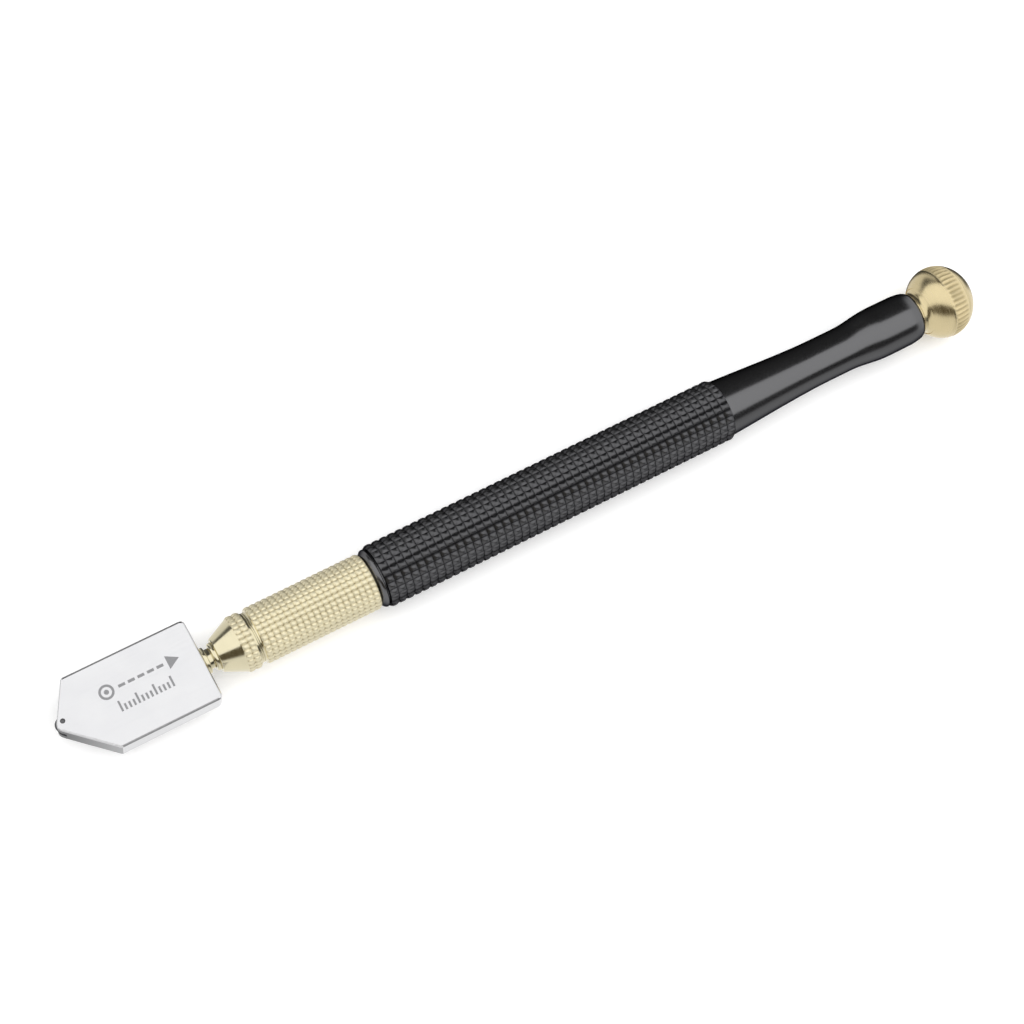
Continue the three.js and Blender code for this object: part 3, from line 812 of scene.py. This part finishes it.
def front_sleeve():
    """Long knurled sleeve. The valve chamber is inside and the spigot screws in to the barrel."""
    front, rear = span("front_sleeve")
    radius, rows = 5.05, 20
    root = radius - GOLD_DEPTH
    knurl_front, body_rear = 35.87, span("handle_barrel")[0] - 0.02
    thread_bore, thread_end, spigot, chamber = 3.76, 40.2, 4.1, 2.8
    web_front, web_rear, web_bore, web_hole = 41.6, 42.7, 2.95, 1.65
    groove_front, groove_rear, groove = 57.9, 59.3, 3.5
    shape = rounded([
        (front, thread_bore, 0.05), (front, GOLD_LAND, 0.08), (knurl_front - 0.1, GOLD_LAND, 0.08),
        (knurl_front - 0.02, root, 0),
    ])
    shape += knurl(knurl_front, body_rear - 0.1, radius, rows, GOLD_TEETH, GOLD_DEPTH, FLAT_TOOTH)
    shape += rounded([
        (body_rear, root - 0.05, 0), (body_rear, spigot, 0), (groove_front, spigot, 0),
        (groove_front, groove, 0.1), (groove_rear, groove, 0.1), (groove_rear, spigot, 0.1),
    ])
    shape += thread(groove_rear + 0.3, rear - 0.4, spigot, FINE_PITCH, FINE_DEPTH)
    shape += rounded([
        (rear, spigot - 0.3, 0), (rear, chamber, 0.1), (web_rear, chamber, 0),
        (web_rear, web_hole, 0.1), (web_front, web_hole, 0.1), (web_front, web_bore, 0),
        (thread_end, web_bore, 0), (thread_end, thread_bore, 0),
    ])
    return stand_for(turned("sleeve", shape, GOLD_TEETH * TOOTH_STEPS), "front_sleeve")


# ---- handle -----------------------------------------------------------------------------------
BLACK_TEETH = 26
BLACK_ROWS = 46
BLACK_DEPTH = 0.32
TAPER = [(130.0, 4.98), (133.5, 4.75), (137.3, 4.5), (141.1, 4.29)]


def barrel():
    """Coarse knurl, long smooth taper to a waist, and a smooth bulb at the rear."""
    front, rear = span("handle_barrel")
    radius = girth("handle_barrel")
    knurl_front, knurl_rear = 58.6, 126.7
    lip, waist, bulb, end = 5.3, 4.08, 4.78, 4.36
    thread_bore, thread_end = 4.16, 66.4
    reservoir, reservoir_rear, filling_bore, filling_front = 3.3, 139.0, 2.9, 141.0
    cap_thread_front, cap_thread_bore, seal_bore, seal_front = 159.0, 2.96, 3.75, rear - 1.4
    shape = rounded([
        (front, thread_bore, 0.05), (front, lip - 0.95, 0.08), (front + 0.75, lip - 0.12, 0.15),
        (front + 1.15, lip, 0.15), (front + 1.3, lip - 0.45, 0.05),
        (knurl_front - 0.02, lip - 0.45, 0),
    ])
    shape += knurl(
        knurl_front, knurl_rear, radius, BLACK_ROWS, BLACK_TEETH, BLACK_DEPTH, SHARP_TOOTH
    )
    outside = [(knurl_rear + 0.03, 5.17, 0), *[(x, r, 0) for x, r in TAPER]]
    outside += [
        (145.0, waist + 0.03, 1.5), (148.0, waist, 0), (154.0, waist, 1.6),
        (158.8, bulb - 0.06, 1.6), (161.0, bulb, 0.6), (rear - 2.2, bulb - 0.03, 0.9),
        (rear - 0.5, end + 0.12, 0.5), (rear, end - 0.2, 0.12),
    ]
    inside = [
        (rear, seal_bore, 0.06), (seal_front, seal_bore, 0), (seal_front, cap_thread_bore, 0),
        (cap_thread_front, cap_thread_bore, 0), (cap_thread_front, filling_bore, 0),
        (filling_front, filling_bore, 0), (reservoir_rear, reservoir, 0),
        (thread_end, reservoir, 0), (thread_end, thread_bore, 0),
    ]
    shape += rounded(outside + inside, 8)
    return stand_for(turned("barrel", shape, BLACK_TEETH * TOOTH_STEPS), "handle_barrel")


FLUTES = 44
FLUTE_STEPS = 6
FLUTE_DEPTH = 0.2
CAP_PITCH, CAP_THREAD_DEPTH = 1.0, 0.38


def screw_cap():
    """Flattened ball on a short flared neck, with a fluted band at its widest line and a stub."""
    front, rear = span("end_cap")
    radius = girth("end_cap")
    seat = span("handle_barrel")[1] + 0.02
    ball_front, ball_rear, edge_radius = 5.7, 5.85, 4.8
    centre = rear - ball_rear
    neck, flange, stub, undercut = 3.7, 4.0, 2.9, 2.35
    band = (centre - 0.9, centre + 2.2)

    def flute(x, angle):
        reach = min(1.0, (x - band[0]) / 0.35, (band[1] - x) / 0.5)
        wave = (angle / TURN * FLUTES) % 1.0
        return max(reach, 0.0) * abs(2 * wave - 1)

    # Painted shade in the flutes, with some residue: the colour darkens with the depth of each
    # flute.
    relief = Relief(FLUTE_DEPTH, flute, lambda x, a: flute(x, a) * 0.6)
    shape = [(front, 0.0), (front, stub - 0.4)]
    shape += thread(front + 0.4, seat - 1.8, stub, CAP_PITCH, CAP_THREAD_DEPTH)
    shape += rounded([
        (seat - 1.6, stub - 0.1, 0), (seat - 1.6, undercut, 0), (seat, undercut, 0),
        (seat, flange - 0.1, 0.05),
        (seat + 0.3, flange - 0.05, 0.1), (seat + 0.42, neck, 0.1), (seat + 1.3, neck, 0.6),
        (seat + 1.95, edge_radius - 0.25, 0.2),
    ])
    meets = math.asin(edge_radius / radius)
    steps = 60
    for i in range(steps):
        angle = meets + (math.pi - meets) * i / steps
        depth = ball_front if angle < math.pi / 2 else ball_rear
        x = centre - depth * math.cos(angle)
        r = radius * math.sin(angle)
        fluted = band[0] - 0.1 < x < band[1] + 0.1
        shape.append((x, r, relief) if fluted else (x, r))
    shape.append((rear, 0.0))
    return stand_for(turned("screw_cap", shape, FLUTES * FLUTE_STEPS), "end_cap", SATIN_BRASS)


# ---- hidden pieces ----------------------------------------------------------------------------
def seals():
    for name, node, thickness in (
        ("stem_o_ring", "stem_seal", 0.9), ("sleeve_o_ring", "sleeve_seal", 0.58),
        ("cap_o_ring", "cap_seal", 1.1),
    ):
        front, rear = span(node)
        piece = ring(name, (front + rear) / 2, girth(node) - thickness / 2, thickness)
        stand_for(piece, node)


def plain_rings():
    """Washers, the valve's seat ring and its rubber disc."""
    for name, node, bore in (
        ("joint_washer", "nose_washer", 3.76), ("thrust_disc", "thrust_washer", 1.56),
        ("valve_ring", "valve_seat", 1.1), ("valve_disc", "valve_seal", 0.81),
    ):
        front, rear = span(node)
        stand_for(tube(name, front, rear, bore, girth(node), 0.06), node)


def valve_stem():
    front, rear = span("valve_pin")
    head = span("valve_seal")[1] + 0.03
    rod, nose, head_radius = 0.75, 0.95, 2.0
    nose_rear, head_rear = front + 0.55, head + 0.8
    outline = [
        (front, 0, 0), (front, nose, 0.2), (nose_rear, nose, 0.1), (nose_rear, rod, 0.05),
        (head, rod, 0), (head, head_radius, 0.08), (head_rear, head_radius, 0.15),
        (head_rear, rod, 0.15), (rear, rod, 0.25), (rear, 0, 0),
    ]
    return stand_for(turned("valve_stem", rounded(outline), 48), "valve_pin")


def valve_cage():
    """Drilled plug behind the valve spring."""
    front, rear = span("spring_cage")
    hole_count, hole_circle, hole_radius = 3, 1.8, 0.45
    piece = tube("valve_cage", front, rear, 0.9, girth("spring_cage"), 0.1)
    holes = []
    for i in range(hole_count):
        angle = TURN * i / hole_count
        out = Vector((0, math.cos(angle), math.sin(angle))) * hole_circle * MM
        centre = Vector((TIP_X + (front + rear) / 2 * MM, 0, AXIS_Z)) + out
        holes.append(cutter("hole", centre, hole_radius, 4.0, "X"))
    cut_away(piece, holes)
    return stand_for(piece, "spring_cage")


def springs():
    """A coil for each spring, in the CAD spring's place, each with a mesh of its own."""
    for name, node, wire, turns, joint, travel in (
        ("nose_spring", "head_spring", 0.45, 7, "head_plunge", 0.8),
        ("valve_coil", "valve_spring", 0.4, 8, "valve_lift", 0.8),
    ):
        front, rear = span(node)
        piece = coil(name, front, rear, girth(node) - wire / 2, wire, turns)
        stand_for(piece, node)
        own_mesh(piece)


# ---- etched mark ------------------------------------------------------------------------------
WHEEL_MARK = 10.0
MARK_UPPER = 1.95
MARK_LOWER = -2.1
MARK_THICK = 0.012
DASHES, DASH_FRONT, DASH_PITCH, DASH, DASH_WIDTH = 5, 12.1, 1.7, 1.2, 0.5
ARROW_FRONT, ARROW_REAR, ARROW_HALF = 20.8, 22.9, 1.2
TICKS, TICK_FRONT, TICK_PITCH, TICK_HALF = 13, 11.0, 0.76, 0.18
LONG_TICK, SHORT_TICK, LONG_TICK_EVERY = 1.9, 1.1, 4


def mark_loop(work, points, height):
    z = AXIS_Z + (PLATE_THICK / 2 + height) * MM
    return [work.verts.new((TIP_X + x * MM, y * MM, z)) for x, y in points]


def mark_wall(work, low, high):
    for i in range(len(low)):
        k = (i + 1) % len(low)
        work.faces.new((low[i], low[k], high[k], high[i]))


def mark_pad(work, points):
    lower, upper = mark_loop(work, points, -MARK_THICK), mark_loop(work, points, MARK_THICK)
    mark_wall(work, lower, upper)
    work.faces.new(upper)
    work.faces.new(list(reversed(lower)))


def mark_box(work, start, end, low, high):
    mark_pad(work, [(start, low), (end, low), (end, high), (start, high)])


def mark_circle(radius):
    steps = 40
    angles = [TURN * i / steps for i in range(steps)]
    return [(WHEEL_MARK + radius * math.cos(a), MARK_UPPER + radius * math.sin(a)) for a in angles]


def mark_ring(work, outer, inner):
    levels = ((outer, -MARK_THICK), (outer, MARK_THICK), (inner, MARK_THICK), (inner, -MARK_THICK))
    loops = [mark_loop(work, mark_circle(radius), height) for radius, height in levels]
    for low, high in zip(loops, loops[1:] + loops[:1]):
        mark_wall(work, low, high)


def etched_mark():
    """A plain mark on the upper face, a hair thick: a wheel, its cut line, and a row of ticks."""
    work = bmesh.new()
    mark_ring(work, 1.3, 0.88)
    mark_pad(work, mark_circle(0.42))
    for i in range(DASHES):
        start = DASH_FRONT + DASH_PITCH * i
        low, high = MARK_UPPER - DASH_WIDTH / 2, MARK_UPPER + DASH_WIDTH / 2
        mark_box(work, start, start + DASH, low, high)
    mark_pad(work, [
        (ARROW_FRONT, MARK_UPPER - ARROW_HALF), (ARROW_REAR, MARK_UPPER),
        (ARROW_FRONT, MARK_UPPER + ARROW_HALF),
    ])
    for i in range(TICKS):
        tall = SHORT_TICK if i % LONG_TICK_EVERY else LONG_TICK
        x = TICK_FRONT + TICK_PITCH * i
        mark_box(work, x - TICK_HALF, x + TICK_HALF, MARK_LOWER, MARK_LOWER + tall)
    bmesh.ops.recalc_face_normals(work, faces=work.faces)
    piece = solid(work, "etched_mark", None)
    piece.data.materials.append(ETCHED)
    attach(piece, NODE_BODY["head_plate"])
    return piece


steel_head()
score_wheel()
wheel_pin()
stem()
wick()
snap_clip()
nose_nut()
guide_bush()
front_sleeve()
barrel()
screw_cap()
seals()
plain_rings()
valve_stem()
valve_cage()
springs()
etched_mark()


# ---- floor, light and camera ------------------------------------------------------------------
def floor():
    half = 1.6
    mesh = bpy.data.meshes.new("floor")
    mesh.from_pydata(
        [(-half, -half, 0), (half, -half, 0), (half, half, 0), (-half, half, 0)], [], [(0, 1, 2, 3)]
    )
    material, shader = principled("floor_paper", Roughness=0.9, Specular_IOR_Level=0.1)
    graph = Nodes(material)
    colour = graph.mix(graph.noise(25, 3), (0.90, 0.90, 0.90), (0.915, 0.915, 0.915))
    graph.link(colour, shader.inputs["Base Color"])
    shader.inputs["Emission Color"].default_value = (1, 1, 1, 1)
    shader.inputs["Emission Strength"].default_value = 0.18
    mesh.materials.append(material)
    piece = new_object("floor", mesh)
    piece.visible_glossy = False


# The overhead soft box's two long edges at the middle of the tool, turned from straight up, and
# how fast each turns along it. The box lies askew and is widest towards the wheel.
BAND_LOW, LOW_SKEW = math.radians(-46.2), 0.56
BAND_HIGH, HIGH_SKEW = math.radians(37.9), 0.944
BAND_LEVEL = 1.06
BAND_SOFT = math.radians(1.5)
SKEW_END = 0.4
END_LEVEL = 0.9
END_ALONG, END_UPWARD = (0.58, 0.66), (-0.35, -0.15)
FRONT_BLEND, REAR_BLEND = (-0.15, -0.02), (0.09, 0.16)
DARK = 0.06
WARM_DARK = (0.09, 0.075, 0.05)
# Brightness round the tool at and below its own height, by the turn from straight up in degrees:
# towards the wheel's end, straight across, and towards the cap's end.
FRONT_CARDS = [
    (-180, 0.9), (-130, 0.85), (-77, 0.8), (-65, WARM_DARK), (30, WARM_DARK), (60, 0.12), (83, 0.1),
    (95, 0.72), (180, 0.9),
]
MIDDLE_CARDS = [
    (-180, 0.9), (-130, 0.85), (-80, 0.8), (-68, WARM_DARK), (48, WARM_DARK), (60, 0.6), (180, 0.9),
]
REAR_CARDS = [
    (-180, 1.0), (-130, 0.75), (-92, 0.5), (-83, DARK), (83, DARK), (160, DARK), (174, 0.95),
]


def card_ramp(graph, turn, levels):
    ramp = graph.add("ShaderNodeValToRGB")
    stops = ramp.color_ramp.elements
    stops.remove(stops[1])
    for degrees, level in levels:
        colour = level if isinstance(level, tuple) else (level,) * 3
        stop = stops[0] if degrees == -180 else stops.new((degrees + 180) / 360)
        stop.position = (degrees + 180) / 360
        stop.color = (*colour, 1)
    graph.link(turn, ramp.inputs["Fac"])
    return ramp.outputs["Color"]


def studio():
    """A long soft box overhead, cards on both sides of it and at the cap, and pale paper below."""
    world = bpy.data.worlds.new("studio")
    bpy.context.scene.world = world
    world.use_nodes = True
    graph = Nodes(world)
    background = world.node_tree.nodes["Background"]
    place = graph.add("ShaderNodeTexCoord")
    parts = graph.add("ShaderNodeSeparateXYZ")
    graph.link(place.outputs["Generated"], parts.inputs["Vector"])
    along = parts.outputs["X"]
    lean = graph.add("ShaderNodeMath", operation="ARCTAN2")
    graph.link(parts.outputs["Y"], lean.inputs[0])
    graph.link(parts.outputs["Z"], lean.inputs[1])
    lean = lean.outputs[0]
    clamped = graph.remap(along, -1, SKEW_END, (-1, SKEW_END))

    def box_edge(skew, edge, low, high):
        turned_on = graph.raised(lean, clamped, skew)
        return graph.remap(turned_on, low, high, (edge - BAND_SOFT, edge + BAND_SOFT))

    def both(first, second):
        node = graph.add("ShaderNodeMath", operation="MULTIPLY")
        graph.link(first, node.inputs[0])
        graph.link(second, node.inputs[1])
        return node.outputs[0]

    inside = both(box_edge(LOW_SKEW, BAND_LOW, 0, 1), box_edge(HIGH_SKEW, BAND_HIGH, 1, 0))
    turn = graph.remap(lean, 0, 1, (-math.pi, math.pi))
    front, across, rear = (
        card_ramp(graph, turn, cards) for cards in (FRONT_CARDS, MIDDLE_CARDS, REAR_CARDS)
    )
    around = graph.mix(graph.remap(along, 0, 1, FRONT_BLEND), front, across)
    around = graph.mix(graph.remap(along, 0, 1, REAR_BLEND), around, rear)
    level = graph.mix(inside, around, (BAND_LEVEL,) * 3)
    upward = graph.remap(parts.outputs["Z"], 0, 1, END_UPWARD)
    end_card = both(graph.remap(along, 0, 1, END_ALONG), upward)
    level = graph.mix(end_card, level, (END_LEVEL,) * 3)
    path = graph.add("ShaderNodeLightPath")
    seen = graph.mix(path.outputs["Is Camera Ray"], level, (1.0, 1.0, 1.0))
    graph.link(seen, background.inputs["Color"])


def fill_light(name, place, size, watts):
    """A soft light aimed at the origin, which brightens the floor but doesn't show in the metal."""
    data = bpy.data.lights.new(name, "AREA")
    data.size = size
    data.energy = watts
    light = bpy.data.objects.new(name, data)
    bpy.context.scene.collection.objects.link(light)
    light.location = place
    light.rotation_mode = "QUATERNION"
    light.rotation_quaternion = Vector(place).to_track_quat("Z", "Y")
    light.visible_glossy = False


TILT = math.radians(15.608)       # the handle leans away from the camera towards its cap
RISE = math.radians(26.08)        # the handle's slope in the view
ROLL = math.radians(13.8)         # how far the wide face is turned about the handle
CAMERA_DISTANCE = 0.3882
LENS = 80
AIM_AT = 84.65
AIM_OFF = -0.18


def camera():
    """Looks along the mean of the tool's own directions, tilted and turned as above."""
    right, up, back = Vector((1, 0, 0)), Vector((0, 1, 0)), Vector((0, 0, 1))
    along_view = right * math.cos(RISE) + up * math.sin(RISE)
    across_view = up * math.cos(RISE) - right * math.sin(RISE)
    axis = along_view * math.cos(TILT) - back * math.sin(TILT)
    facing = along_view * math.sin(TILT) + back * math.cos(TILT)
    side = across_view * math.cos(ROLL) - facing * math.sin(ROLL)
    top = facing * math.cos(ROLL) + across_view * math.sin(ROLL)
    turn = Matrix((axis, side, top))
    target = Vector((TIP_X + AIM_AT * MM, AIM_OFF * MM, AXIS_Z))
    data = bpy.data.cameras.new("camera")
    data.lens = LENS
    data.sensor_width = 36
    data.clip_start, data.clip_end = 0.01, 10
    eye = bpy.data.objects.new("camera", data)
    bpy.context.scene.collection.objects.link(eye)
    eye.matrix_world = Matrix.Translation(target + turn @ back * CAMERA_DISTANCE) @ turn.to_4x4()
    bpy.context.scene.camera = eye


floor()
studio()
fill_light("fill", (0.15, -0.35, 1.4), 2.4, 22)
camera()
bpy.context.scene.view_settings.view_transform = "Standard"
